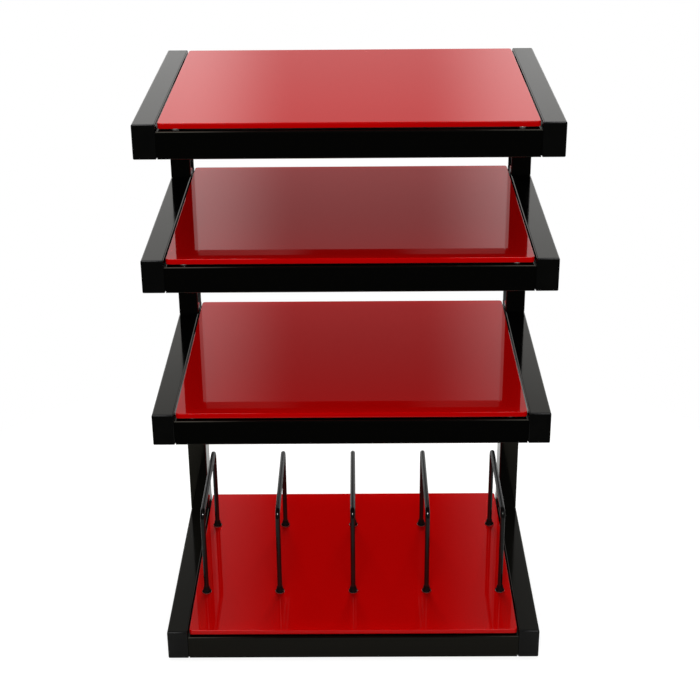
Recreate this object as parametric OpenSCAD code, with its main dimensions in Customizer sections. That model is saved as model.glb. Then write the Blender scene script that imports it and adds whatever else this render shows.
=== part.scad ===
// Four-tier hi-fi equipment rack: black tube tiers carried on two rear posts per bay, loose red glass
// shelves on clear pads, and wire record dividers on the bottom shelf.
// Origin: middle of the footprint, on the floor. +Z up, +X to the right, the front faces -Y.

/* [Overall] */
// Width over the side tubes
rack_w = 600; // [520:5:700]
// Depth over the side tube end caps
rack_d = 446; // [400:2:500]
// Height of the levelling feet, floor to tube underside
foot_h = 6; // [5:0.5:12]

/* [Bays] */
// Post length of the bottom bay, for records
bottom_bay_h = 342; // [330:2:420]
// Post length of the middle bay
middle_bay_h = 198; // [120:2:300]
// Post length of the top bay
top_bay_h = 150; // [110:5:300]

/* [Tubes] */
// Width of the side tubes and posts
tube_w = 33; // [30:1:45]
// Height of the side tubes
tube_h = 50; // [46:1:60]
// Outer corner radius of every tube
tube_r = 2; // [2:0.5:4]
// Wall thickness of every tube
tube_wall = 2; // [1.5:0.5:2]
// Depth of the rear posts
post_d = 52; // [48:1:60]
// Depth of the cross rails
rail_d = 30; // [26:1:40]
// Drop from side tube top to cross rail top
rail_drop = 10; // [9:0.5:12]
// Thickness of an end cap's head
cap_t = 4; // [3:0.5:5]
// Radius of the round edge of an end cap's face
cap_edge_r = 2; // [1:0.5:2.5]
// Shadow gap between a cross rail and the side tube beside it
rail_gap = 1.2; // [0.5:0.1:2]

/* [Glass shelves] */
// Glass thickness
glass_t = 8; // [6:1:8]
// Set-back of the glass from the front and back of the rack
glass_inset = 5; // [3:0.5:12]
// Gap between a shelf and the side tube beside it
glass_gap = 2.5; // [2:0.5:6]
// How far the glass stands above the side tubes
glass_proud = 0.5; // [0:0.1:1]
// Corner radius of the glass
glass_r = 5; // [2:1:12]
// Distance from a side tube to the clear pads on the rail
pad_edge = 27; // [12:1:120]

/* [Record dividers] */
// Distance from a side tube to the outermost divider
divider_edge = 21; // [15:1:60]
// Distance between a divider's two legs
leg_span = 213; // [120:1:260]
// Height of a divider above the glass
divider_h = 156; // [80:2:220]
// Wire diameter
wire_d = 8; // [7:0.5:8]
// Centre-line radius of a divider's two bends
bend_r = 11; // [8:1:30]

/* [Hidden] */
$fn = 48;

// Underside of each tier's side tubes, counted up from the bottom tier
bottom_z = foot_h;
lower_z = bottom_z + tube_h + bottom_bay_h;
upper_z = lower_z + tube_h + middle_bay_h;
top_z = upper_z + tube_h + top_bay_h;
tiers = [bottom_z, lower_z, upper_z, top_z];

// Side tubes
inner_r = tube_r - tube_wall + 0.5;
side_x = rack_w / 2 - tube_w / 2;
steel_d = rack_d - 2 * cap_t;
steel_end = steel_d / 2;
inner_x = rack_w / 2 - tube_w;

// Cross rails: the front one is flush with the cap faces, the rear one with the steel ends
rail_h = tube_h - rail_drop;
rail_l = 2 * (inner_x - rail_gap);
front_rail_y = -rack_d / 2 + rail_d / 2;
rear_rail_y = steel_end - rail_d / 2;

// Posts stand flush with the steel ends of the side tubes
post_y = steel_end - post_d / 2;
post_seats = [bottom_z + tube_h, lower_z + tube_h, upper_z + tube_h];
post_heights = [bottom_bay_h, middle_bay_h, top_bay_h];

// Fasteners: M6 socket screws into tapped end plates
bolt_r = 3;
bolt_l = 16;
bolt_head_r = 5;
bolt_head_h = 6;
bolt_socket_r = 2.5;
bolt_socket_h = 3;
clear_r = 3.3;
tapped_r = 3.05;
washer_r = 6;
washer_t = 1.5;
plate_t = 4;
rail_plate_t = plate_t + rail_gap;
plate_gap = 0.1;
cut = 1;
post_bolt_pitch = 26;
rail_bolt_pitch = 18;

// End caps: a round-edged head, built up in layers, with a hollow plug behind it
cap_layers = 4;
cap_corner_min = 0.5;
plug_l = 4.5;
plug_wall = 2;
plug_gap = 0.1;

// Glass and pads
glass_w = 2 * (inner_x - glass_gap);
glass_d = rack_d - 2 * glass_inset;
glass_z = tube_h + glass_proud - glass_t;
pad_r = 5;
pad_h = glass_z - rail_h;
pad_base_h = 0.8;
pad_taper = 1.5;
pad_x = inner_x - pad_edge;

// Dividers: five, the middle one on the centre line
divider_pitch = (inner_x - divider_edge) / 2;
wire_r = wire_d / 2;
divider_top = divider_h - wire_r;
stem_below = 16;
leg_bore_r = 4.05;
leg_clear_r = 4.3;
glass_hole_r = 5.5;
grommet_base_r = 7.5;
grommet_neck_r = 5.2;
grommet_rim_h = 1;
grommet_flare_h = 4;
grommet_h = 9;
seat_washer_r = 8;
seat_washer_t = 0.8;
nut_flats = 13;
nut_h = 6.5;
lower_washer_t = 1.5;

// Levelling feet: M8 studs in flanged inserts
foot_inset = 38;
foot_y = rack_d / 2 - foot_inset;
stud_r = 4;
stud_bore_r = 4.08;
stud_l = 24;
insert_r = 5.5;
insert_hole_r = 5.55;
insert_h = 14;
flange_r = 8;
flange_t = 1;
foot_stop_gap = 0.2;
foot_sole_r = 14;
foot_rim_r = 15;
foot_sole_h = 1;
foot_body_h = foot_h - flange_t - foot_stop_gap - foot_sole_h;
foot_top_r = 12;

// Rectangle with round corners, centred
module rounded_rect(w, h, r) {
    square([w - 2 * r, h], center = true);
    square([w, h - 2 * r], center = true);
    for (x = [-1, 1], y = [-1, 1])
        translate([x * (w / 2 - r), y * (h / 2 - r)]) circle(r);
}

// Wall outline of a box tube, centred
module tube_section(w, h) {
    difference() {
        rounded_rect(w, h, tube_r);
        rounded_rect(w - 2 * tube_wall, h - 2 * tube_wall, inner_r);
    }
}

// Box tube along Y with its underside at z = 0
module tube_along_y(w, h, l) {
    translate([0, l / 2, h / 2]) rotate([90, 0, 0]) linear_extrude(l) tube_section(w, h);
}

// Box tube along X with its underside at z = 0
module tube_along_x(d, h, l) {
    translate([-l / 2, 0, h / 2]) rotate([90, 0, 90]) linear_extrude(l) tube_section(d, h);
}

// Socket screw standing on z = 0 with its shank below, pointing down
module socket_screw() {
    difference() {
        union() {
            cylinder(r = bolt_head_r, h = bolt_head_h);
            translate([0, 0, -bolt_l]) cylinder(r = bolt_r, h = bolt_l);
        }
        translate([0, 0, bolt_head_h - bolt_socket_h])
            cylinder(r = bolt_socket_r, h = bolt_socket_h + cut, $fn = 6);
    }
}

// Cutter for a through hole in a wall that stands on z = 0
module through_hole(r, wall) {
    translate([0, 0, -cut]) cylinder(r = r, h = wall + 2 * cut);
}

// Flat ring on z = 0
module ring(outer_r, bore_r, h) {
    difference() {
        cylinder(r = outer_r, h = h);
        through_hole(bore_r, h);
    }
}

// Centres of the two screws of one post end, in plan
module at_post_screws(side) {
    for (s = [-1, 1])
        translate([side * side_x, post_y + s * post_bolt_pitch / 2, 0]) children();
}

// Every screw point of the cross rails of one tier, as an axis pointing out into the side tube
module at_rail_screws(tier_z) {
    for (side = [-1, 1], y = [front_rail_y, rear_rail_y], s = [-1, 1])
        translate([side * inner_x, y, tier_z + rail_h / 2 + s * rail_bolt_pitch / 2])
            rotate([0, side * 90, 0]) children();
}

// Every post screw, placed on the inside of the tube wall it goes through, pointing into the post
module at_post_joints() {
    for (side = [-1, 1], i = [0 : len(post_seats) - 1]) {
        at_post_screws(side) translate([0, 0, post_seats[i] - tube_wall]) rotate([180, 0, 0]) children();
        at_post_screws(side) translate([0, 0, post_seats[i] + post_heights[i] + tube_wall]) children();
    }
}

// One side tube: screw holes for the rails, and for the posts above and below where it has them
module side_tube(side, tier_z, post_above, post_below, feet) {
    color("black") difference() {
        translate([side * side_x, 0, tier_z]) tube_along_y(tube_w, tube_h, steel_d);
        at_rail_screws(tier_z) through_hole(clear_r, tube_wall);
        if (post_above)
            at_post_screws(side)
                translate([0, 0, tier_z + tube_h - tube_wall]) through_hole(clear_r, tube_wall);
        if (post_below)
            at_post_screws(side) translate([0, 0, tier_z]) through_hole(clear_r, tube_wall);
        if (feet)
            for (s = [-1, 1])
                translate([side * side_x, s * foot_y, tier_z]) through_hole(insert_hole_r, tube_wall);
    }
}

module cross_rail(y, tier_z) {
    color("black") translate([0, y, tier_z]) tube_along_x(rail_d, rail_h, rail_l);
}

module post(side, i) {
    color("black") translate([side * side_x, post_y, post_seats[i]])
        linear_extrude(post_heights[i]) tube_section(tube_w, post_d);
}

// End cap with its face at z = 0 and its plug up +Z, in the section of a side tube
module end_cap() {
    translate([0, 0, cap_edge_r])
        linear_extrude(cap_t - cap_edge_r) rounded_rect(tube_w, tube_h, tube_r);
    layer_t = cap_edge_r / cap_layers;
    for (layer = [0 : cap_layers - 1]) {
        depth = cap_edge_r - (layer + 0.5) * layer_t;
        inset = cap_edge_r - sqrt(cap_edge_r * cap_edge_r - depth * depth);
        translate([0, 0, layer * layer_t]) linear_extrude(layer_t)
            rounded_rect(tube_w - 2 * inset, tube_h - 2 * inset, max(tube_r - inset, cap_corner_min));
    }
    plug_w = tube_w - 2 * tube_wall - 2 * plug_gap;
    plug_h = tube_h - 2 * tube_wall - 2 * plug_gap;
    translate([0, 0, cap_t]) linear_extrude(plug_l) difference() {
        rounded_rect(plug_w, plug_h, inner_r);
        square([plug_w - 2 * plug_wall, plug_h - 2 * plug_wall], center = true);
    }
}

module end_caps(facing) {
    color("black") for (side = [-1, 1], z = tiers)
        translate([side * side_x, facing * rack_d / 2, z + tube_h / 2])
            rotate([facing * 90, 0, 0]) end_cap();
}

module post_end_plates() {
    plate_w = tube_w - 2 * tube_wall - 2 * plate_gap;
    plate_d = post_d - 2 * tube_wall - 2 * plate_gap;
    color("dimgray") for (side = [-1, 1], i = [0 : len(post_seats) - 1],
                          z = [post_seats[i], post_seats[i] + post_heights[i] - plate_t])
        difference() {
            translate([side * side_x, post_y, z]) linear_extrude(plate_t)
                rounded_rect(plate_w, plate_d, inner_r);
            at_post_screws(side) translate([0, 0, z]) through_hole(tapped_r, plate_t);
        }
}

// Plates in the rail ends, which stand proud and close against the side tubes
module rail_end_plates() {
    plate_w = rail_d - 2 * tube_wall - 2 * plate_gap;
    plate_h = rail_h - 2 * tube_wall - 2 * plate_gap;
    color("dimgray") for (z = tiers) difference() {
        for (side = [-1, 1], y = [front_rail_y, rear_rail_y])
            translate([side * (inner_x - rail_plate_t / 2), y, z + rail_h / 2])
                rotate([90, 0, 90]) translate([0, 0, -rail_plate_t / 2])
                    linear_extrude(rail_plate_t) rounded_rect(plate_w, plate_h, inner_r);
        at_rail_screws(z) translate([0, 0, -rail_plate_t]) through_hole(tapped_r, rail_plate_t);
    }
}

module post_bolts() {
    color("silver") at_post_joints() translate([0, 0, washer_t]) socket_screw();
}

module post_bolt_washers() {
    color("silver") at_post_joints() ring(washer_r, clear_r, washer_t);
}

module rail_bolts() {
    color("silver") for (z = tiers)
        at_rail_screws(z) translate([0, 0, tube_wall + washer_t]) socket_screw();
}

module rail_bolt_washers() {
    color("silver") for (z = tiers)
        at_rail_screws(z) translate([0, 0, tube_wall]) ring(washer_r, clear_r, washer_t);
}

// Clear round bumpers on top of the rails, two to a rail
module shelf_pads() {
    color("lightgray") for (z = tiers, y = [front_rail_y, rear_rail_y], s = [-1, 1])
        translate([s * pad_x, y, z + rail_h]) {
            cylinder(r = pad_r, h = pad_base_h);
            translate([0, 0, pad_base_h])
                cylinder(r1 = pad_r, r2 = pad_r - pad_taper, h = pad_h - pad_base_h);
        }
}

module glass_plate(tier_z) {
    translate([0, 0, tier_z + glass_z]) linear_extrude(glass_t) rounded_rect(glass_w, glass_d, glass_r);
}

module glass_shelf(tier_z) {
    color("red") glass_plate(tier_z);
}

// Centres of the divider legs on the top face of the bottom glass
module at_legs(number) {
    for (s = [-1, 1])
        translate([(number - 2) * divider_pitch, s * leg_span / 2, bottom_z + tube_h + glass_proud])
            children();
}

module bottom_glass_shelf() {
    color("red") difference() {
        glass_plate(bottom_z);
        for (number = [0 : 4])
            at_legs(number) translate([0, 0, -glass_t]) through_hole(glass_hole_r, glass_t);
    }
}

// Bent wire hoop: two legs, two bends and a level top
module divider(number) {
    glass_top = bottom_z + tube_h + glass_proud;
    leg_l = divider_top - bend_r + glass_t + stem_below;
    color("black") union() {
        at_legs(number) translate([0, 0, -glass_t - stem_below]) cylinder(r = wire_r, h = leg_l);
        translate([(number - 2) * divider_pitch, 0, glass_top + divider_top]) {
            translate([0, leg_span / 2 - bend_r, 0])
                rotate([90, 0, 0]) cylinder(r = wire_r, h = leg_span - 2 * bend_r);
            for (s = [0, 180]) rotate([0, 0, s])
                translate([0, leg_span / 2 - bend_r, -bend_r]) rotate([90, 0, 90])
                    rotate_extrude(angle = 90) translate([bend_r, 0]) circle(wire_r);
        }
    }
}

module divider_grommets() {
    color("black") for (number = [0 : 4]) at_legs(number) translate([0, 0, seat_washer_t])
        difference() {
            union() {
                cylinder(r = grommet_base_r, h = grommet_rim_h);
                translate([0, 0, grommet_rim_h])
                    cylinder(r1 = grommet_base_r, r2 = grommet_neck_r, h = grommet_flare_h);
                cylinder(r = grommet_neck_r, h = grommet_h);
            }
            through_hole(leg_bore_r, grommet_h);
        }
}

module divider_seat_washers() {
    color("white") for (number = [0 : 4]) at_legs(number) ring(seat_washer_r, leg_clear_r, seat_washer_t);
}

module divider_lower_washers() {
    color("silver") for (number = [0 : 4])
        at_legs(number) translate([0, 0, -glass_t - lower_washer_t])
            ring(seat_washer_r, leg_clear_r, lower_washer_t);
}

module divider_nuts() {
    color("silver") for (number = [0 : 4])
        at_legs(number) translate([0, 0, -glass_t - lower_washer_t - nut_h]) difference() {
            cylinder(d = nut_flats / cos(30), h = nut_h, $fn = 6);
            through_hole(leg_bore_r, nut_h);
        }
}

// Flanged threaded inserts for the levelling feet
module foot_inserts() {
    color("silver") for (side = [-1, 1], s = [-1, 1])
        translate([side * side_x, s * foot_y, bottom_z]) difference() {
            union() {
                cylinder(r = insert_r, h = insert_h);
                translate([0, 0, -flange_t]) cylinder(r = flange_r, h = flange_t);
            }
            translate([0, 0, -flange_t]) through_hole(stud_bore_r, insert_h + flange_t);
        }
}

module foot_pad(side, end) {
    color("black") translate([side * side_x, end * foot_y, 0]) {
        cylinder(r1 = foot_sole_r, r2 = foot_rim_r, h = foot_sole_h);
        translate([0, 0, foot_sole_h]) cylinder(r1 = foot_rim_r, r2 = foot_top_r, h = foot_body_h);
    }
}

module foot_stud(side, end) {
    color("silver") translate([side * side_x, end * foot_y, foot_sole_h + foot_body_h])
        cylinder(r = stud_r, h = stud_l);
}

side_tube(-1, top_z, false, true, false);  // top_left_side_tube
side_tube(1, top_z, false, true, false);  // top_right_side_tube
cross_rail(front_rail_y, top_z);  // top_front_rail
cross_rail(rear_rail_y, top_z);  // top_rear_rail
side_tube(-1, upper_z, true, true, false);  // upper_left_side_tube
side_tube(1, upper_z, true, true, false);  // upper_right_side_tube
cross_rail(front_rail_y, upper_z);  // upper_front_rail
cross_rail(rear_rail_y, upper_z);  // upper_rear_rail
side_tube(-1, lower_z, true, true, false);  // lower_left_side_tube
side_tube(1, lower_z, true, true, false);  // lower_right_side_tube
cross_rail(front_rail_y, lower_z);  // lower_front_rail
cross_rail(rear_rail_y, lower_z);  // lower_rear_rail
side_tube(-1, bottom_z, true, false, true);  // bottom_left_side_tube
side_tube(1, bottom_z, true, false, true);  // bottom_right_side_tube
cross_rail(front_rail_y, bottom_z);  // bottom_front_rail
cross_rail(rear_rail_y, bottom_z);  // bottom_rear_rail
post(-1, 2);  // top_left_post
post(1, 2);  // top_right_post
post(-1, 1);  // middle_left_post
post(1, 1);  // middle_right_post
post(-1, 0);  // bottom_left_post
post(1, 0);  // bottom_right_post
end_caps(-1);  // front_end_caps
end_caps(1);  // rear_end_caps
post_end_plates();
rail_end_plates();
post_bolts();
post_bolt_washers();
rail_bolts();
rail_bolt_washers();
shelf_pads();
glass_shelf(top_z);  // top_glass_shelf
glass_shelf(upper_z);  // upper_glass_shelf
glass_shelf(lower_z);  // lower_glass_shelf
bottom_glass_shelf();
divider(0);  // far_left_divider
divider(1);  // left_divider
divider(2);  // centre_divider
divider(3);  // right_divider
divider(4);  // far_right_divider
divider_grommets();
divider_seat_washers();
divider_lower_washers();
divider_nuts();
foot_inserts();
foot_pad(-1, -1);  // front_left_foot_pad
foot_pad(1, -1);  // front_right_foot_pad
foot_pad(-1, 1);  // rear_left_foot_pad
foot_pad(1, 1);  // rear_right_foot_pad
foot_stud(-1, -1);  // front_left_foot_stud
foot_stud(1, -1);  // front_right_foot_stud
foot_stud(-1, 1);  // rear_left_foot_stud
foot_stud(1, 1);  // rear_right_foot_stud
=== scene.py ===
import math

import bmesh
import bpy
from mathutils import Matrix, Vector


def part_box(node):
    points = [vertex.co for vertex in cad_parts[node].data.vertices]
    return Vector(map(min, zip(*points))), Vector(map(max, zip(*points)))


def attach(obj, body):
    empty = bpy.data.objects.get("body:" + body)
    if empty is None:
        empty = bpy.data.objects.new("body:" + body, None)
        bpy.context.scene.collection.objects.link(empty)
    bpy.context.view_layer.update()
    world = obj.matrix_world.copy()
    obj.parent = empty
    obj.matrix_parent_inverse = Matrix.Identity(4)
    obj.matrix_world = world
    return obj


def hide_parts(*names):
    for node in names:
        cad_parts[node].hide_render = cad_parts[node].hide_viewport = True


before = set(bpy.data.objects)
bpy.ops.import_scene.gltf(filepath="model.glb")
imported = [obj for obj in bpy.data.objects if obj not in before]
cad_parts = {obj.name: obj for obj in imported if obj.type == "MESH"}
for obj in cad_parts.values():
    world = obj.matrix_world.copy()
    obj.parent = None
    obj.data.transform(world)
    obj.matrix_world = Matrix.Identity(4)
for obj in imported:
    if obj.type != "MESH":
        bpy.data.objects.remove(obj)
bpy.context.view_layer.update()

MM = 0.001
TIERS = ("top", "upper", "lower", "bottom")
SIDES = ("left", "right")
DIVIDERS = ("far_left", "left", "centre", "right", "far_right")
CORNERS = ("front_left", "front_right", "rear_left", "rear_right")


# ---------------------------------------------------------------- node helpers

def add(tree, kind, inputs=None, **settings):
    """A new node of that kind. An input is given as a value or as the socket that feeds it."""
    made = tree.nodes.new("ShaderNode" + kind)
    for name, value in settings.items():
        setattr(made, name, value)
    for name, value in (inputs or {}).items():
        if isinstance(value, bpy.types.NodeSocket):
            tree.links.new(value, made.inputs[name])
        else:
            made.inputs[name].default_value = value
    return made


def maths(tree, operation, *values):
    """The output of a Math node fed with these values or sockets."""
    made = add(tree, "Math", dict(enumerate(values)), operation=operation)
    return made.outputs[0]


def noise(tree, where, scale, detail=2.0, roughness=0.5):
    """Noise between 0 and 1, with scale cells to the metre."""
    inputs = {"Vector": where, "Scale": scale, "Detail": detail, "Roughness": roughness}
    return add(tree, "TexNoise", inputs).outputs["Fac"]


def between(tree, fac, low, high, start=0.0, end=1.0):
    """fac from start to end turned into a number from low to high."""
    inputs = {"Value": fac, "From Min": start, "From Max": end, "To Min": low, "To Max": high}
    return add(tree, "MapRange", inputs).outputs["Result"]


def blend_colours(tree, fac, first, second):
    """A colour that goes from first to second with fac."""
    made = add(tree, "Mix", data_type="RGBA")
    tree.links.new(fac, made.inputs["Factor"])
    made.inputs[6].default_value = (*first, 1.0)
    made.inputs[7].default_value = (*second, 1.0)
    return made.outputs[2]


def bump(tree, height, distance, strength=1.0, under=None):
    """Relief of that depth in metres, laid over another relief if one is given."""
    inputs = {"Height": height, "Distance": distance, "Strength": strength}
    if under is not None:
        inputs["Normal"] = under
    return add(tree, "Bump", inputs).outputs["Normal"]


def new_finish(name, **constants):
    """A material with a Principled shader. Returns it, its tree, its shader and object coordinates."""
    material = bpy.data.materials.new(name)
    material.use_nodes = True
    tree = material.node_tree
    tree.nodes.clear()
    shader = add(tree, "BsdfPrincipled", {k.replace("_", " "): v for k, v in constants.items()})
    output = add(tree, "OutputMaterial")
    tree.links.new(shader.outputs["BSDF"], output.inputs["Surface"])
    return material, tree, shader, add(tree, "TexCoord").outputs["Object"]


def dress(tree, shader, colour=None, roughness=None, normal=None, coat_normal=None):
    """Links the varying parts of a finish to its shader."""
    links = {"Base Color": colour, "Roughness": roughness, "Normal": normal, "Coat Normal": coat_normal}
    for name, socket in links.items():
        if socket is not None:
            tree.links.new(socket, shader.inputs[name])


# ---------------------------------------------------------------- finishes

def speckle(tree, where, scale, share):
    """Sparse small spots, 1 inside and 0 outside, such as dust or pores."""
    cells = add(tree, "TexVoronoi", {"Vector": where, "Scale": scale}).outputs["Distance"]
    return between(tree, cells, 1.0, 0.0, share * 0.4, share)


def gloss_lacquer():
    """Black gloss paint on steel: faint orange peel, uneven sheen, a little dust."""
    material, tree, shader, where = new_finish(
        "gloss_black_lacquer", IOR=1.5, Specular_Tint=(1.0, 0.95, 0.78, 1.0))
    cloud = noise(tree, where, 7.0, 3.0)
    peel = noise(tree, where, 420.0, 2.0)
    wave = noise(tree, where, 45.0, 1.0)
    dust = speckle(tree, where, 260.0, 0.09)
    colour = blend_colours(tree, dust, (0.0016, 0.0016, 0.0014), (0.012, 0.0115, 0.010))
    sheen = maths(tree, "ADD", between(tree, cloud, 0.05, 0.11, 0.3, 0.7),
                  maths(tree, "MULTIPLY", dust, 0.15))
    relief = bump(tree, peel, 0.006 * MM, 0.6, bump(tree, wave, 0.02 * MM, 0.6))
    dress(tree, shader, colour, sheen, relief)
    return material


def cap_plastic():
    """Black polished injection-moulded plastic with a fine skin."""
    material, tree, shader, where = new_finish("gloss_cap_plastic", IOR=1.49)
    cloud = noise(tree, where, 30.0, 3.0)
    skin = noise(tree, where, 900.0, 2.0)
    colour = blend_colours(tree, cloud, (0.002, 0.0021, 0.002), (0.004, 0.004, 0.0037))
    sheen = between(tree, cloud, 0.1, 0.17, 0.3, 0.7)
    dress(tree, shader, colour, sheen, bump(tree, skin, 0.004 * MM, 0.5))
    return material


def painted_glass():
    """Clear polished glass over red paint: the coat is the glass face, the base is the paint."""
    material, tree, shader, where = new_finish(
        "red_glass_face", Metallic=0.15, Coat_Weight=1.0, Coat_Roughness=0.012, Coat_IOR=1.52,
        Specular_IOR_Level=0.0)
    cloud = noise(tree, where, 5.0, 3.0)
    grain = noise(tree, where, 1300.0, 2.0)
    dust = speckle(tree, where, 190.0, 0.07)
    paint = blend_colours(tree, cloud, (0.66, 0.0012, 0.0012), (0.70, 0.0016, 0.0016))
    colour = add(tree, "Mix", {"Factor": maths(tree, "MULTIPLY", dust, 0.10), 6: paint,
                               7: (0.6, 0.25, 0.22, 1.0)}, data_type="RGBA").outputs[2]
    ripple = noise(tree, where, 6.0, 1.0)
    dress(tree, shader, colour, between(tree, grain, 0.06, 0.10),
          bump(tree, grain, 0.001 * MM, 0.3), bump(tree, ripple, 0.03 * MM, 0.4))
    return material


def glass_edge():
    """The ground and polished edge of a pane, with the red of the paint showing through it."""
    material, tree, shader, where = new_finish(
        "red_glass_edge", Coat_Weight=1.0, Coat_Roughness=0.06, Coat_IOR=1.52,
        Specular_IOR_Level=0.0)
    grind = noise(tree, where, 700.0, 3.0)
    cloud = noise(tree, where, 11.0, 2.0)
    colour = blend_colours(tree, cloud, (0.44, 0.0005, 0.0008), (0.5, 0.0008, 0.001))
    dress(tree, shader, colour, between(tree, grind, 0.35, 0.5), bump(tree, grind, 0.01 * MM, 0.5))
    return material


def glass_back():
    """The underside of the glass: a dark red-black, flatter than the top and uneven."""
    material, tree, shader, where = new_finish("red_enamel_back", IOR=1.45)
    cloud = noise(tree, where, 22.0, 4.0)
    orange = noise(tree, where, 500.0, 3.0)
    colour = blend_colours(tree, cloud, (0.045, 0.003, 0.003), (0.065, 0.005, 0.0045))
    dress(tree, shader, colour, between(tree, cloud, 0.34, 0.5), bump(tree, orange, 0.02 * MM, 0.6))
    return material


def wire_coating():
    """Gloss black powder coat on wire."""
    material, tree, shader, where = new_finish("gloss_black_wire", IOR=1.5)
    cloud = noise(tree, where, 35.0, 3.0)
    orange = noise(tree, where, 650.0, 2.0)
    colour = blend_colours(tree, cloud, (0.002, 0.002, 0.0019), (0.006, 0.006, 0.0055))
    dress(tree, shader, colour, between(tree, cloud, 0.13, 0.2, 0.3, 0.7),
          bump(tree, orange, 0.008 * MM, 0.6))
    return material


def rubber():
    """Moulded black rubber: matt, finely pitted, dusty."""
    material, tree, shader, where = new_finish("moulded_black_rubber", IOR=1.35)
    pits = noise(tree, where, 1500.0, 4.0, 0.6)
    cloud = noise(tree, where, 60.0, 3.0)
    colour = blend_colours(tree, cloud, (0.002, 0.002, 0.0019), (0.006, 0.006, 0.0056))
    dress(tree, shader, colour, between(tree, pits, 0.5, 0.75), bump(tree, pits, 0.03 * MM, 0.8))
    return material


def clear_pad():
    """Soft clear polyurethane with small bubbles."""
    material, tree, shader, where = new_finish(
        "clear_polyurethane", IOR=1.46, Transmission_Weight=0.75)
    bubbles = speckle(tree, where, 900.0, 0.16)
    cloud = noise(tree, where, 300.0, 2.0)
    colour = blend_colours(tree, bubbles, (0.93, 0.93, 0.91), (0.8, 0.8, 0.78))
    dress(tree, shader, colour, between(tree, cloud, 0.06, 0.2), bump(tree, bubbles, 0.02 * MM, 0.5))
    return material


def nylon():
    """Pale natural nylon, slightly translucent and satin."""
    material, tree, shader, where = new_finish(
        "natural_nylon", IOR=1.4, Transmission_Weight=0.95)
    cloud = noise(tree, where, 160.0, 3.0)
    skin = noise(tree, where, 1800.0, 2.0)
    colour = blend_colours(tree, cloud, (0.58, 0.55, 0.50), (0.70, 0.67, 0.62))
    dress(tree, shader, colour, between(tree, cloud, 0.32, 0.5), bump(tree, skin, 0.01 * MM, 0.6))
    return material


def zinc():
    """Bright zinc-plated steel with fine turning marks and duller patches."""
    material, tree, shader, where = new_finish("zinc_plated_steel", Metallic=1.0)
    cloud = noise(tree, where, 90.0, 4.0)
    stretched = add(tree, "Mapping", {"Vector": where, "Scale": (1.0, 1.0, 12.0)}).outputs[0]
    turning = noise(tree, stretched, 400.0, 2.0)
    colour = blend_colours(tree, cloud, (0.50, 0.51, 0.53), (0.66, 0.67, 0.69))
    dress(tree, shader, colour, between(tree, cloud, 0.22, 0.42, 0.3, 0.7),
          bump(tree, turning, 0.01 * MM, 0.7))
    return material


FINISHES = {
    "black_frame_paint": gloss_lacquer(),
    "black_wire_paint": wire_coating(),
    "black_cap_plastic": cap_plastic(),
    "red_back_painted_glass": painted_glass(),
    "clear_pad_rubber": clear_pad(),
    "black_rubber": rubber(),
    "pale_washer_nylon": nylon(),
    "zinc_steel": zinc(),
}
GLASS_EDGE = glass_edge()
GLASS_BACK = glass_back()


def dress_cad_nodes():
    """Gives every CAD node the finish of its material slot."""
    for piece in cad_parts.values():
        for slot in piece.material_slots:
            slot.material = FINISHES[slot.material.name]


# ---------------------------------------------------------------- mesh helpers

LEVEL = 0.999


def skin(bm, rings, looped=False):
    """Joins closed loops of points, one after the other, into a skin, and closes its ends."""
    rows = [[bm.verts.new(point) for point in ring] for ring in rings]
    pairs = list(zip(rows, rows[1:])) + ([(rows[-1], rows[0])] if looped else [])
    for first, second in pairs:
        for i in range(len(first)):
            j = (i + 1) % len(first)
            bm.faces.new((first[i], first[j], second[j], second[i]))
    if not looped:
        bm.faces.new(rows[0][::-1])
        bm.faces.new(rows[-1])


def circle(centre, radius, z, sides):
    """Points of a level circle."""
    turn = 2 * math.pi / sides
    return [Vector((centre[0] + radius * math.cos(i * turn), centre[1] + radius * math.sin(i * turn), z))
            for i in range(sides)]


def turned(bm, centre, profile, sides=40, looped=False):
    """A turned solid. The profile is a run of (radius, height), and a looped one leaves a hole."""
    skin(bm, [circle(centre, r, z, sides) for r, z in profile], looped)


def finish_piece(name, bm, slot, body, nodes, smooth_angle=35.0):
    """Makes the mesh an object that rides on its body and stands for its CAD nodes."""
    bmesh.ops.recalc_face_normals(bm, faces=bm.faces)
    mesh = bpy.data.meshes.new(name)
    bm.to_mesh(mesh)
    bm.free()
    return place_mesh(name, mesh, slot, body, nodes, smooth_angle)


def place_mesh(name, mesh, slot, body, nodes, smooth_angle=35.0):
    """An object from a finished mesh, with its finish, body and CAD nodes. Flat ends stay flat."""
    mesh.set_sharp_from_angle(angle=math.radians(smooth_angle))
    for face in mesh.polygons:
        face.use_smooth = len(face.vertices) <= 4 and abs(face.normal.z) < LEVEL
    piece = bpy.data.objects.new(name, mesh)
    bpy.context.scene.collection.objects.link(piece)
    if not mesh.materials:
        mesh.materials.append(FINISHES[slot])
    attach(piece, body)
    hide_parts(*nodes)
    return piece


# ---------------------------------------------------------------- end caps

CAP_EDGE = 1.6 * MM
CAP_SEAM = 0.7 * MM
CAP_CORNER = 2.0 * MM
SEAM_BEVEL = 0.15 * MM
NECK_INSET = 0.8 * MM
PLUG_INSET = 2.2 * MM
PLUG_TIP_INSET = 3.0 * MM
PLUG_TAPER = 1.0 * MM


def rounded_rectangle(low, high, inset, corner, steps=8):
    """Points of a rounded rectangle between two (x, z) corners, drawn in by inset."""
    corner = max(corner - inset, 0.2 * MM)
    x0, z0, x1, z1 = low[0] + inset, low[1] + inset, high[0] - inset, high[1] - inset
    middles = ((x1 - corner, z1 - corner, 0), (x0 + corner, z1 - corner, 90),
               (x0 + corner, z0 + corner, 180), (x1 - corner, z0 + corner, 270))
    points = []
    for x, z, start in middles:
        for i in range(steps + 1):
            angle = math.radians(start + 90 * i / steps)
            points.append((x + corner * math.cos(angle), z + corner * math.sin(angle)))
    return points


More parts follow.
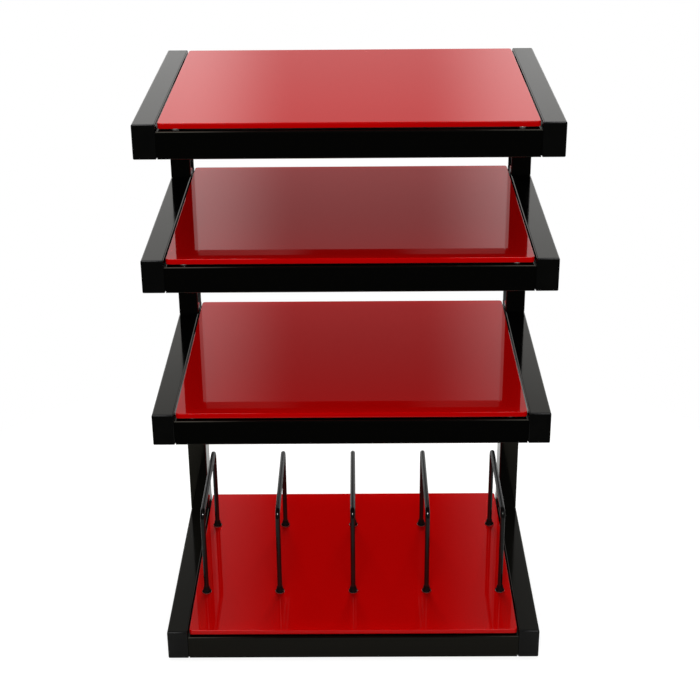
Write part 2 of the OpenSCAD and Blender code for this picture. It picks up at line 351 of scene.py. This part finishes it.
def cap_rings(tube_low, tube_high, tube_end, face, plug_depth):
    """A cap's loops, from its rounded face back over a narrow seam to the plug inside the tube."""
    outward = math.copysign(1.0, face - tube_end)
    low, high = (tube_low.x, tube_low.z), (tube_high.x, tube_high.z)
    shape = [(CAP_EDGE * (1 - math.sin(math.radians(a))), -CAP_EDGE * (1 - math.cos(math.radians(a))))
             for a in range(0, 91, 15)]
    rings = [(inset, face + outward * back) for inset, back in shape]
    seam = tube_end + outward * CAP_SEAM
    rings += [(0.0, seam + outward * SEAM_BEVEL), (SEAM_BEVEL, seam), (NECK_INSET, seam),
              (NECK_INSET, tube_end), (PLUG_INSET, tube_end), (PLUG_INSET, tube_end - outward * plug_depth),
              (PLUG_TIP_INSET, tube_end - outward * (plug_depth + PLUG_TAPER))]
    return [[Vector((x, y, z)) for x, z in rounded_rectangle(low, high, inset, CAP_CORNER)]
            for inset, y in rings]


def make_caps(end):
    """The eight plugs in the front or the rear ends of the side tubes."""
    node = f"{end}_end_caps"
    caps_low, caps_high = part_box(node)
    bm = bmesh.new()
    for tier in TIERS:
        for side in SIDES:
            low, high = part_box(f"{tier}_{side}_side_tube")
            tube_end, face = (low.y, caps_low.y) if end == "front" else (high.y, caps_high.y)
            inner = caps_high.y if end == "front" else caps_low.y
            plug_depth = abs(inner - tube_end) - PLUG_TAPER
            skin(bm, cap_rings(low, high, tube_end, face, plug_depth))
    return finish_piece(f"{end}_tube_plugs", bm, "black_cap_plastic", "frame", [node])


# ---------------------------------------------------------------- dividers

THREAD_DEPTH = 0.4 * MM
THREAD_PITCH = 1.25 * MM
THREAD_STEPS = 6
WIRE_SIDES = 28
BEND_STEPS = 16
BEND_RADIUS = 11.0 * MM
NUT_FLATS = 13.0 * MM


def hoop_path(low, high, wire_r, thread_top):
    """Points, directions and threaded share along a hoop's centre line, in the YZ plane."""
    front, rear, top = low.y + wire_r, high.y - wire_r, high.z - wire_r
    steps = round((thread_top - low.z) / THREAD_PITCH * THREAD_STEPS)
    leg = [low.z + (thread_top - low.z) * i / steps for i in range(steps + 1)]
    leg += [thread_top + (top - BEND_RADIUS - thread_top) * i / 8 for i in (0.2, 1, 2, 4, 6, 8)]
    half = [(front, z, 90.0) for z in leg]
    centre = (front + BEND_RADIUS, top - BEND_RADIUS)
    for i in range(1, BEND_STEPS + 1):
        angle = 90.0 * i / BEND_STEPS
        turn = math.radians(180.0 - angle)
        half.append((centre[0] + BEND_RADIUS * math.cos(turn),
                     centre[1] + BEND_RADIUS * math.sin(turn), 90.0 - angle))
    other = [(front + rear - y, z, -heading) for y, z, heading in reversed(half)]
    return half + [((front + rear) / 2, top, 0.0)] + other


def wire_ring(x, y, z, heading, radius_at):
    """A ring round the wire, square to its heading."""
    across = math.radians(heading + 90.0)
    out = Vector((0.0, math.cos(across), math.sin(across)))
    ring = []
    for i in range(WIRE_SIDES):
        angle = 2 * math.pi * i / WIRE_SIDES
        r = radius_at(angle, z)
        ring.append(Vector((x + r * math.sin(angle), y, z)) + out * (r * math.cos(angle)))
    return ring


def threaded(wire_r, bottom, top):
    """The radius of a wire whose foot is threaded up to top, with a lead-in chamfer."""
    def radius_at(angle, z):
        if z > top:
            return wire_r
        turn = ((z / THREAD_PITCH) - angle / (2 * math.pi)) % 1.0
        groove = THREAD_DEPTH * (1.0 - abs(2.0 * turn - 1.0))
        fade = min((top - z) / THREAD_PITCH, 1.0)
        lead_in = max(0.0, 0.9 * MM - (z - bottom))
        return wire_r - groove * fade - lead_in
    return radius_at


def make_divider(name):
    """One bent wire hoop with its two threaded feet."""
    node = f"{name}_divider"
    low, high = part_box(node)
    wire_r = (high.x - low.x) / 2
    thread_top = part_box("bottom_glass_shelf")[0].z
    radius_at = threaded(wire_r, low.z, thread_top)
    bm = bmesh.new()
    x = (low.x + high.x) / 2
    skin(bm, [wire_ring(x, y, z, heading, radius_at)
              for y, z, heading in hoop_path(low, high, wire_r, thread_top)])
    return finish_piece(f"{name}_wire_hoop", bm, "black_wire_paint", "bottom_shelf", [node], 50.0)


def divider_feet():
    """The (x, y) of every divider foot."""
    feet = []
    for name in DIVIDERS:
        low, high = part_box(f"{name}_divider")
        wire_r = (high.x - low.x) / 2
        feet += [((low.x + high.x) / 2, y) for y in (low.y + wire_r, high.y - wire_r)]
    return feet


def hexagon(centre, flats, z_of, sides=72):
    """Points of a hexagon's outline. z_of gives each point's height from its radius."""
    points = []
    for i in range(sides):
        angle = 2 * math.pi * i / sides
        radius = flats / 2 / math.cos((angle + math.pi / 6) % (math.pi / 3) - math.pi / 6)
        points.append(Vector((centre[0] + radius * math.cos(angle),
                              centre[1] + radius * math.sin(angle), z_of(radius))))
    return points


def hex_nut(bm, centre, flats, bore, low, high, sides=72):
    """A hexagon nut with 30 degree chamfers on both faces and a countersunk bore."""
    chamfer = math.tan(math.radians(30.0))
    face_r = flats / 2 * 0.96
    sink = 0.5 * MM
    rings = [circle(centre, bore, low + sink, sides), circle(centre, bore + sink, low, sides),
             circle(centre, face_r, low, sides),
             hexagon(centre, flats, lambda r: low + (r - face_r) * chamfer),
             hexagon(centre, flats, lambda r: high - (r - face_r) * chamfer),
             circle(centre, face_r, high, sides), circle(centre, bore + sink, high, sides),
             circle(centre, bore, high - sink, sides)]
    skin(bm, rings, looped=True)


def washer_profile(bore, radius, low, high, edge=0.2 * MM):
    """A flat washer's section with broken edges."""
    return [(bore, low + edge), (bore + edge, low), (radius - edge, low), (radius, low + edge),
            (radius, high - edge), (radius - edge, high), (bore + edge, high), (bore, high - edge)]


def grommet_profile(bore, low, high, base_r, neck_r):
    """A flared rubber foot: a rim, a concave flank and a rounded collar round the wire."""
    rim_h, collar = 1.2 * MM, 0.8 * MM
    profile = [(bore, low), (base_r - 0.4 * MM, low), (base_r, low + 0.4 * MM),
               (base_r, low + rim_h), (base_r - 0.5 * MM, low + rim_h + 0.4 * MM)]
    start, steps = base_r - 0.9 * MM, 8
    bottom, top = low + rim_h + 0.6 * MM, high - collar
    for i in range(steps + 1):
        t = i / steps
        profile.append((neck_r + (start - neck_r) * (1 - t) ** 2.4, bottom + (top - bottom) * t))
    for degrees in (30, 60, 90):
        a = math.radians(degrees)
        profile.append((neck_r - collar * (1 - math.cos(a)), top + collar * math.sin(a)))
    return profile + [(bore, high)]


def make_divider_fittings():
    """The washers, rubber feet and nuts of the ten divider legs."""
    low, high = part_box(f"{DIVIDERS[0]}_divider")
    wire_r = (high.x - low.x) / 2
    spots = divider_feet()

    def band(node):
        low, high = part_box(node)
        radius = (high.x - low.x - (spots[-1][0] - spots[0][0])) / 2
        return low.z, high.z, radius

    def piece(name, node, slot, shape):
        bm = bmesh.new()
        for spot in spots:
            shape(bm, spot)
        finish_piece(name, bm, slot, "bottom_shelf", [node])

    seat_low, seat_high, seat_r = band("divider_seat_washers")
    piece("divider_seat_rings", "divider_seat_washers", "pale_washer_nylon",
          lambda bm, spot: turned(bm, spot, washer_profile(wire_r, seat_r, seat_low, seat_high),
                                  looped=True))
    boot_low, boot_high, boot_r = band("divider_grommets")
    profile = grommet_profile(wire_r, boot_low, boot_high, boot_r, wire_r + 1.2 * MM)
    piece("divider_rubber_boots", "divider_grommets", "black_rubber",
          lambda bm, spot: turned(bm, spot, profile, looped=True))
    under_low, under_high, under_r = band("divider_lower_washers")
    piece("divider_under_rings", "divider_lower_washers", "zinc_steel",
          lambda bm, spot: turned(bm, spot, washer_profile(wire_r, under_r, under_low, under_high),
                                  looped=True))
    nut_low, nut_high, _ = band("divider_nuts")
    piece("divider_hex_nuts", "divider_nuts", "zinc_steel",
          lambda bm, spot: hex_nut(bm, spot, NUT_FLATS, wire_r - 0.3 * MM, nut_low, nut_high))


# ---------------------------------------------------------------- glass shelves

ARRIS = 0.7 * MM
PANE_CORNER = 5.0 * MM
LEG_HOLE_R = 5.5 * MM
LEG_HOLE_SIDES = 40
UNDERSIDE, TOP_FACE = -0.5, 0.5


def closed_spline(curve, points):
    """Adds a closed straight-sided outline to a curve."""
    spline = curve.splines.new("POLY")
    spline.points.add(len(points) - 1)
    for point, (x, y) in zip(spline.points, points):
        point.co = (x, y, 0.0, 1.0)
    spline.use_cyclic_u = True


def make_glass(tier):
    """A pane with rounded corners, bevelled arrises and, in the bottom one, the divider holes."""
    node = f"{tier}_glass_shelf"
    low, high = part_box(node)
    curve = bpy.data.curves.new(node, "CURVE")
    curve.dimensions, curve.fill_mode = "2D", "BOTH"
    outline = rounded_rectangle((low.x, low.y), (high.x, high.y), ARRIS, PANE_CORNER, 10)
    closed_spline(curve, outline)
    if tier == "bottom":
        for spot in divider_feet():
            hole = circle(spot, LEG_HOLE_R + ARRIS, 0.0, LEG_HOLE_SIDES)
            closed_spline(curve, [(p.x, p.y) for p in hole])
    curve.extrude = (high.z - low.z) / 2 - ARRIS
    curve.bevel_depth, curve.bevel_resolution = ARRIS, 2
    source = bpy.data.objects.new(node + "_outline", curve)
    bpy.context.scene.collection.objects.link(source)
    bpy.context.view_layer.update()
    graph = bpy.context.evaluated_depsgraph_get()
    mesh = bpy.data.meshes.new_from_object(source.evaluated_get(graph))
    bpy.data.objects.remove(source)
    mesh.transform(Matrix.Translation((0.0, 0.0, (low.z + high.z) / 2)))
    weld(mesh)
    mesh.materials.clear()
    for material in (FINISHES["red_back_painted_glass"], GLASS_EDGE, GLASS_BACK):
        mesh.materials.append(material)
    for face in mesh.polygons:
        up = face.normal.z
        face.material_index = 0 if up > TOP_FACE else 2 if up < UNDERSIDE else 1
    return place_mesh(f"{tier}_red_glass", mesh, "red_back_painted_glass", f"{tier}_shelf", [node], 30.0)


def weld(mesh):
    """Joins the doubled points of a converted curve and turns its faces outward."""
    bm = bmesh.new()
    bm.from_mesh(mesh)
    bmesh.ops.remove_doubles(bm, verts=bm.verts, dist=1e-6)
    bmesh.ops.recalc_face_normals(bm, faces=bm.faces)
    bm.to_mesh(mesh)
    bm.free()


PAD_RADIUS = 5.0 * MM
PAD_DOME = 1.3 * MM
PAD_RIM = 0.15


def make_pads():
    """The clear domed pads that the glass rests on."""
    low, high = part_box("shelf_pads")
    spots = [(x, y) for x in (low.x + PAD_RADIUS, high.x - PAD_RADIUS)
             for y in (low.y + PAD_RADIUS, high.y - PAD_RADIUS)]
    bm = bmesh.new()
    for tier in TIERS:
        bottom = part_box(f"{tier}_front_rail")[1].z
        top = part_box(f"{tier}_glass_shelf")[0].z
        height = top - bottom
        rim = bottom + PAD_RIM * height
        profile = [(PAD_RADIUS - 0.1 * MM, bottom), (PAD_RADIUS, rim)]
        profile += [(PAD_RADIUS - PAD_DOME * (1 - math.cos(math.radians(a))),
                     rim + (top - rim) * math.sin(math.radians(a)))
                    for a in range(15, 91, 15)]
        for spot in spots:
            turned(bm, spot, profile, 48)
    return finish_piece("clear_glass_pads", bm, "clear_pad_rubber", "frame", ["shelf_pads"])


# ---------------------------------------------------------------- feet

FOOT_RIBS = 36
RIB_DEPTH = 0.35 * MM
STUD_SIDES = 32


def foot_ring(centre, radius, z, rib=0.0):
    """A circle whose radius swings in and out to make the grip of a levelling foot."""
    sides = FOOT_RIBS * 6
    points = []
    for i in range(sides):
        angle = 2 * math.pi * i / sides
        r = radius - rib * (0.5 + 0.5 * math.cos(FOOT_RIBS * angle))
        points.append(Vector((centre[0] + r * math.cos(angle), centre[1] + r * math.sin(angle), z)))
    return points


def make_foot_pad(corner):
    """The rubber foot: a soft sole, a ribbed grip and a flat top."""
    node = f"{corner}_foot_pad"
    low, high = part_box(node)
    centre = ((low.x + high.x) / 2, (low.y + high.y) / 2)
    wide = (high.x - low.x) / 2
    h = high.z - low.z
    rows = [(wide - 1.0 * MM, 0.0, 0), (wide - 0.3 * MM, 0.06, 0), (wide, 0.16, 0),
            (wide - 0.1 * MM, 0.24, 0), (wide - 0.9 * MM, 0.30, 0), (wide - 1.0 * MM, 0.36, 1),
            (wide - 1.6 * MM, 0.60, 1), (wide - 2.4 * MM, 0.84, 1), (wide - 3.0 * MM, 0.96, 0),
            (wide - 3.6 * MM, 1.0, 0)]
    bm = bmesh.new()
    skin(bm, [foot_ring(centre, r, low.z + share * h, rib * RIB_DEPTH) for r, share, rib in rows])
    return finish_piece(f"{corner}_levelling_foot", bm, "black_rubber", f"{corner}_foot", [node])


def make_foot_stud(corner):
    """The threaded stud of a levelling foot."""
    node = f"{corner}_foot_stud"
    low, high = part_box(node)
    centre = ((low.x + high.x) / 2, (low.y + high.y) / 2)
    radius = (high.x - low.x) / 2
    steps = round((high.z - low.z) / THREAD_PITCH * THREAD_STEPS)
    rings = []
    for k in range(steps + 1):
        z = low.z + (high.z - low.z) * k / steps
        ring = []
        for i in range(STUD_SIDES):
            angle = 2 * math.pi * i / STUD_SIDES
            turn = (z / THREAD_PITCH - angle / (2 * math.pi)) % 1.0
            lead_in = max(0.0, 1.0 * MM - (high.z - z))
            r = radius - THREAD_DEPTH * (1.0 - abs(2.0 * turn - 1.0)) - lead_in
            ring.append(Vector((centre[0] + r * math.cos(angle), centre[1] + r * math.sin(angle), z)))
        rings.append(ring)
    bm = bmesh.new()
    skin(bm, rings)
    return finish_piece(f"{corner}_threaded_stud", bm, "zinc_steel", f"{corner}_foot", [node], 50.0)


# ---------------------------------------------------------------- studio

NEAR_RADIUS = 0.55
FAR_RADIUS = 0.95
FLOOR_RADIUS = 6.0
FLOOR_GLOW = 0.5
SHADE = 0.86
WALL_GLOW = 0.4
HORIZON_GLOW = 1.2
PANEL_GLOW = 0.5
HIGH_PANEL_GLOW = 0.2
STRIP_GLOW = 1.2
STRIP_GLOSS = 2.0
LOW_BAND = 0.07


def soft_step(tree, value, start, end):
    """0 before start, 1 after end, and a smooth rise between them."""
    inputs = {"Value": value, "From Min": start, "From Max": end}
    return add(tree, "MapRange", inputs, interpolation_type="SMOOTHSTEP").outputs["Result"]


def back_wall(tree, xyz):
    """A plain wall that is brightest at the horizon and fades upward, with a soft panel each side."""
    height = xyz["Z"]
    wall = between(tree, height, WALL_GLOW, 0.0, 0.2, 0.5)
    horizon = between(tree, height, HORIZON_GLOW, 0.0, 0.0, 0.2)
    sideways = maths(tree, "ABSOLUTE", xyz["X"])
    panel = between(tree, height, PANEL_GLOW, HIGH_PANEL_GLOW, 0.4, 0.55)
    panels = maths(tree, "MULTIPLY", soft_step(tree, sideways, 0.04, 0.12), panel)
    return maths(tree, "ADD", maths(tree, "ADD", wall, horizon), panels)


def low_band(tree, xyz, rays):
    """A faint band at eye height, in front and at the sides, that only the gloss shows."""
    sideways = maths(tree, "ABSOLUTE", xyz["X"])
    forward = maths(tree, "MULTIPLY", xyz["Y"], -1.0)
    facing = soft_step(tree, maths(tree, "MAXIMUM", sideways, forward), 0.75, 0.85)
    level = soft_step(tree, maths(tree, "ABSOLUTE", xyz["Z"]), 0.2, 0.1)
    shown = maths(tree, "MULTIPLY", facing, level)
    return maths(tree, "MULTIPLY", maths(tree, "MULTIPLY", shown, rays["Is Glossy Ray"]), LOW_BAND)


def make_world():
    """White to the camera. To the object, a plain wall behind it and two soft strips overhead."""
    world = bpy.data.worlds.new("studio")
    bpy.context.scene.world = world
    world.use_nodes = True
    tree = world.node_tree
    tree.nodes.clear()
    direction = add(tree, "TexCoord").outputs["Generated"]
    xyz = add(tree, "SeparateXYZ", {"Vector": direction}).outputs
    wall = back_wall(tree, xyz)
    overhead = soft_step(tree, xyz["Z"], 0.45, 0.6)
    sideways = maths(tree, "ABSOLUTE", xyz["X"])
    strips = maths(tree, "MULTIPLY", soft_step(tree, sideways, 0.08, 0.12),
                   soft_step(tree, sideways, 0.36, 0.26))
    rays = add(tree, "LightPath").outputs
    strips = maths(tree, "MULTIPLY", strips, between(tree, rays["Is Glossy Ray"], STRIP_GLOW, STRIP_GLOSS))
    front = maths(tree, "MULTIPLY", overhead, strips)
    behind = between(tree, xyz["Y"], 0.0, 1.0, -0.05, 0.05)
    wall = maths(tree, "MULTIPLY", wall, soft_step(tree, sideways, 0.6, 0.35))
    ring = add(tree, "Mix", {"Factor": behind, 2: front, 3: wall}, data_type="FLOAT").outputs[0]
    above = between(tree, xyz["Z"], 0.0, 1.0, -0.01, 0.01)
    glow = maths(tree, "ADD", maths(tree, "MULTIPLY", ring, above), low_band(tree, xyz, rays))
    seen = rays["Is Camera Ray"]
    strength = add(tree, "Mix", {"Factor": seen, 2: glow, 3: 1.0}, data_type="FLOAT").outputs[0]
    shader = add(tree, "Background", {"Color": (1.0, 1.0, 1.0, 1.0), "Strength": strength})
    output = add(tree, "OutputWorld")
    tree.links.new(shader.outputs[0], output.inputs["Surface"])


def make_floor():
    """A pale floor, white to the camera, with a faint shade close to the object.

    In reflections it is lit by the lamps near the object, and glows softly behind it at both sides.
    """
    material = bpy.data.materials.new("pale_floor")
    material.use_nodes = True
    tree = material.node_tree
    tree.nodes.clear()
    where = add(tree, "TexCoord").outputs["Object"]
    reach = add(tree, "VectorMath", {0: where}, operation="LENGTH").outputs["Value"]
    near = between(tree, reach, 1.0, 0.0, NEAR_RADIUS, FAR_RADIUS)
    seen = add(tree, "LightPath").outputs["Is Camera Ray"]
    place = add(tree, "SeparateXYZ", {"Vector": where}).outputs
    to_side = soft_step(tree, maths(tree, "ABSOLUTE", place["X"]), 0.12, 0.26)
    behind = maths(tree, "MULTIPLY", between(tree, place["Y"], 0.0, FLOOR_GLOW, 0.25, 0.6), to_side)
    white = add(tree, "Mix", {"Factor": seen, 2: behind, 3: between(tree, near, 1.0, SHADE)},
                data_type="FLOAT").outputs[0]
    glow = add(tree, "Emission", {"Strength": white})
    grey = blend_colours(tree, near, (0.0, 0.0, 0.0), (0.3, 0.3, 0.29))
    matt = add(tree, "BsdfDiffuse", {"Color": grey})
    both = add(tree, "AddShader")
    tree.links.new(glow.outputs[0], both.inputs[0])
    tree.links.new(matt.outputs[0], both.inputs[1])
    output = add(tree, "OutputMaterial")
    tree.links.new(both.outputs[0], output.inputs["Surface"])
    bm = bmesh.new()
    bmesh.ops.create_circle(bm, cap_ends=True, radius=FLOOR_RADIUS, segments=96)
    mesh = bpy.data.meshes.new("floor")
    bm.to_mesh(mesh)
    bm.free()
    mesh.materials.append(material)
    floor = bpy.data.objects.new("floor", mesh)
    bpy.context.scene.collection.objects.link(floor)


def softbox(name, place, aim, size, power, in_reflections=False):
    """A rectangular area light that the camera doesn't see."""
    light = bpy.data.lights.new(name, "AREA")
    light.shape, light.size, light.size_y = "RECTANGLE", *size
    light.energy = power
    lamp = bpy.data.objects.new(name, light)
    lamp.location = place
    lamp.rotation_euler = (Vector(aim) - Vector(place)).to_track_quat("-Z", "Y").to_euler()
    lamp.visible_camera = False
    lamp.visible_glossy = in_reflections
    bpy.context.scene.collection.objects.link(lamp)
    return lamp


def make_lights():
    """Soft fill from above, from the front and from both sides, with no hard shadows."""
    middle = (0.0, 0.0, 0.45)
    softbox("top_fill", (0.0, 0.0, 2.9), middle, (1.0, 1.0), 30.0)
    softbox("front_fill", (0.0, -2.8, 1.35), middle, (1.6, 0.8), 10.0)
    softbox("low_front_fill", (0.0, -2.8, 0.92), middle, (1.6, 0.6), 44.0)
    softbox("rear_fill", (0.0, 2.6, 1.2), middle, (1.6, 0.8), 75.0)
    softbox("left_fill", (-2.4, -0.3, 1.2), middle, (1.6, 1.6), 1.0)
    softbox("right_fill", (2.4, -0.3, 1.2), middle, (1.6, 1.6), 1.0)


def glint_on(pieces):
    """A small lamp high in front that puts a round glint on the bends of the wire pieces alone."""
    lamp = softbox("bend_lamp", (0.0, -2.4, 2.4), (0.0, 0.0, 0.2), (0.3, 0.3), 90.0, in_reflections=True)
    lamp.visible_diffuse = False
    group = bpy.data.collections.new("glinting_wires")
    for piece in pieces:
        group.objects.link(piece)
    lamp.light_linking.receiver_collection = group


# ---------------------------------------------------------------- camera

LENS = 75.60
SENSOR = 36.0
PITCH, YAW, ROLL = 24.54, 0.414, 0.497
CAMERA_PLACE = (0.01313, -2.18561, 1.45070)


def make_camera():
    """The photograph's camera: it looks down at the front from a little right of the middle."""
    data = bpy.data.cameras.new("camera")
    data.lens, data.sensor_width, data.sensor_fit = LENS, SENSOR, "HORIZONTAL"
    data.clip_start, data.clip_end = 0.05, 50.0
    camera = bpy.data.objects.new("camera", data)
    tilt = Matrix.Rotation(math.radians(90.0 - PITCH), 3, "X")
    turn = Matrix.Rotation(math.radians(YAW), 3, "Z")
    roll = Matrix.Rotation(-math.radians(ROLL), 3, "Z")
    camera.matrix_world = Matrix.Translation(CAMERA_PLACE) @ (turn @ tilt @ roll).to_4x4()
    bpy.context.scene.collection.objects.link(camera)
    bpy.context.scene.camera = camera


bpy.context.scene.view_settings.view_transform = "Standard"
make_world()
make_floor()
make_lights()
make_camera()
dress_cad_nodes()
for end in ("front", "rear"):
    make_caps(end)
for tier in TIERS:
    make_glass(tier)
make_pads()
glint_on([make_divider(divider) for divider in DIVIDERS])
make_divider_fittings()
for corner in CORNERS:
    make_foot_pad(corner)
    make_foot_stud(corner)
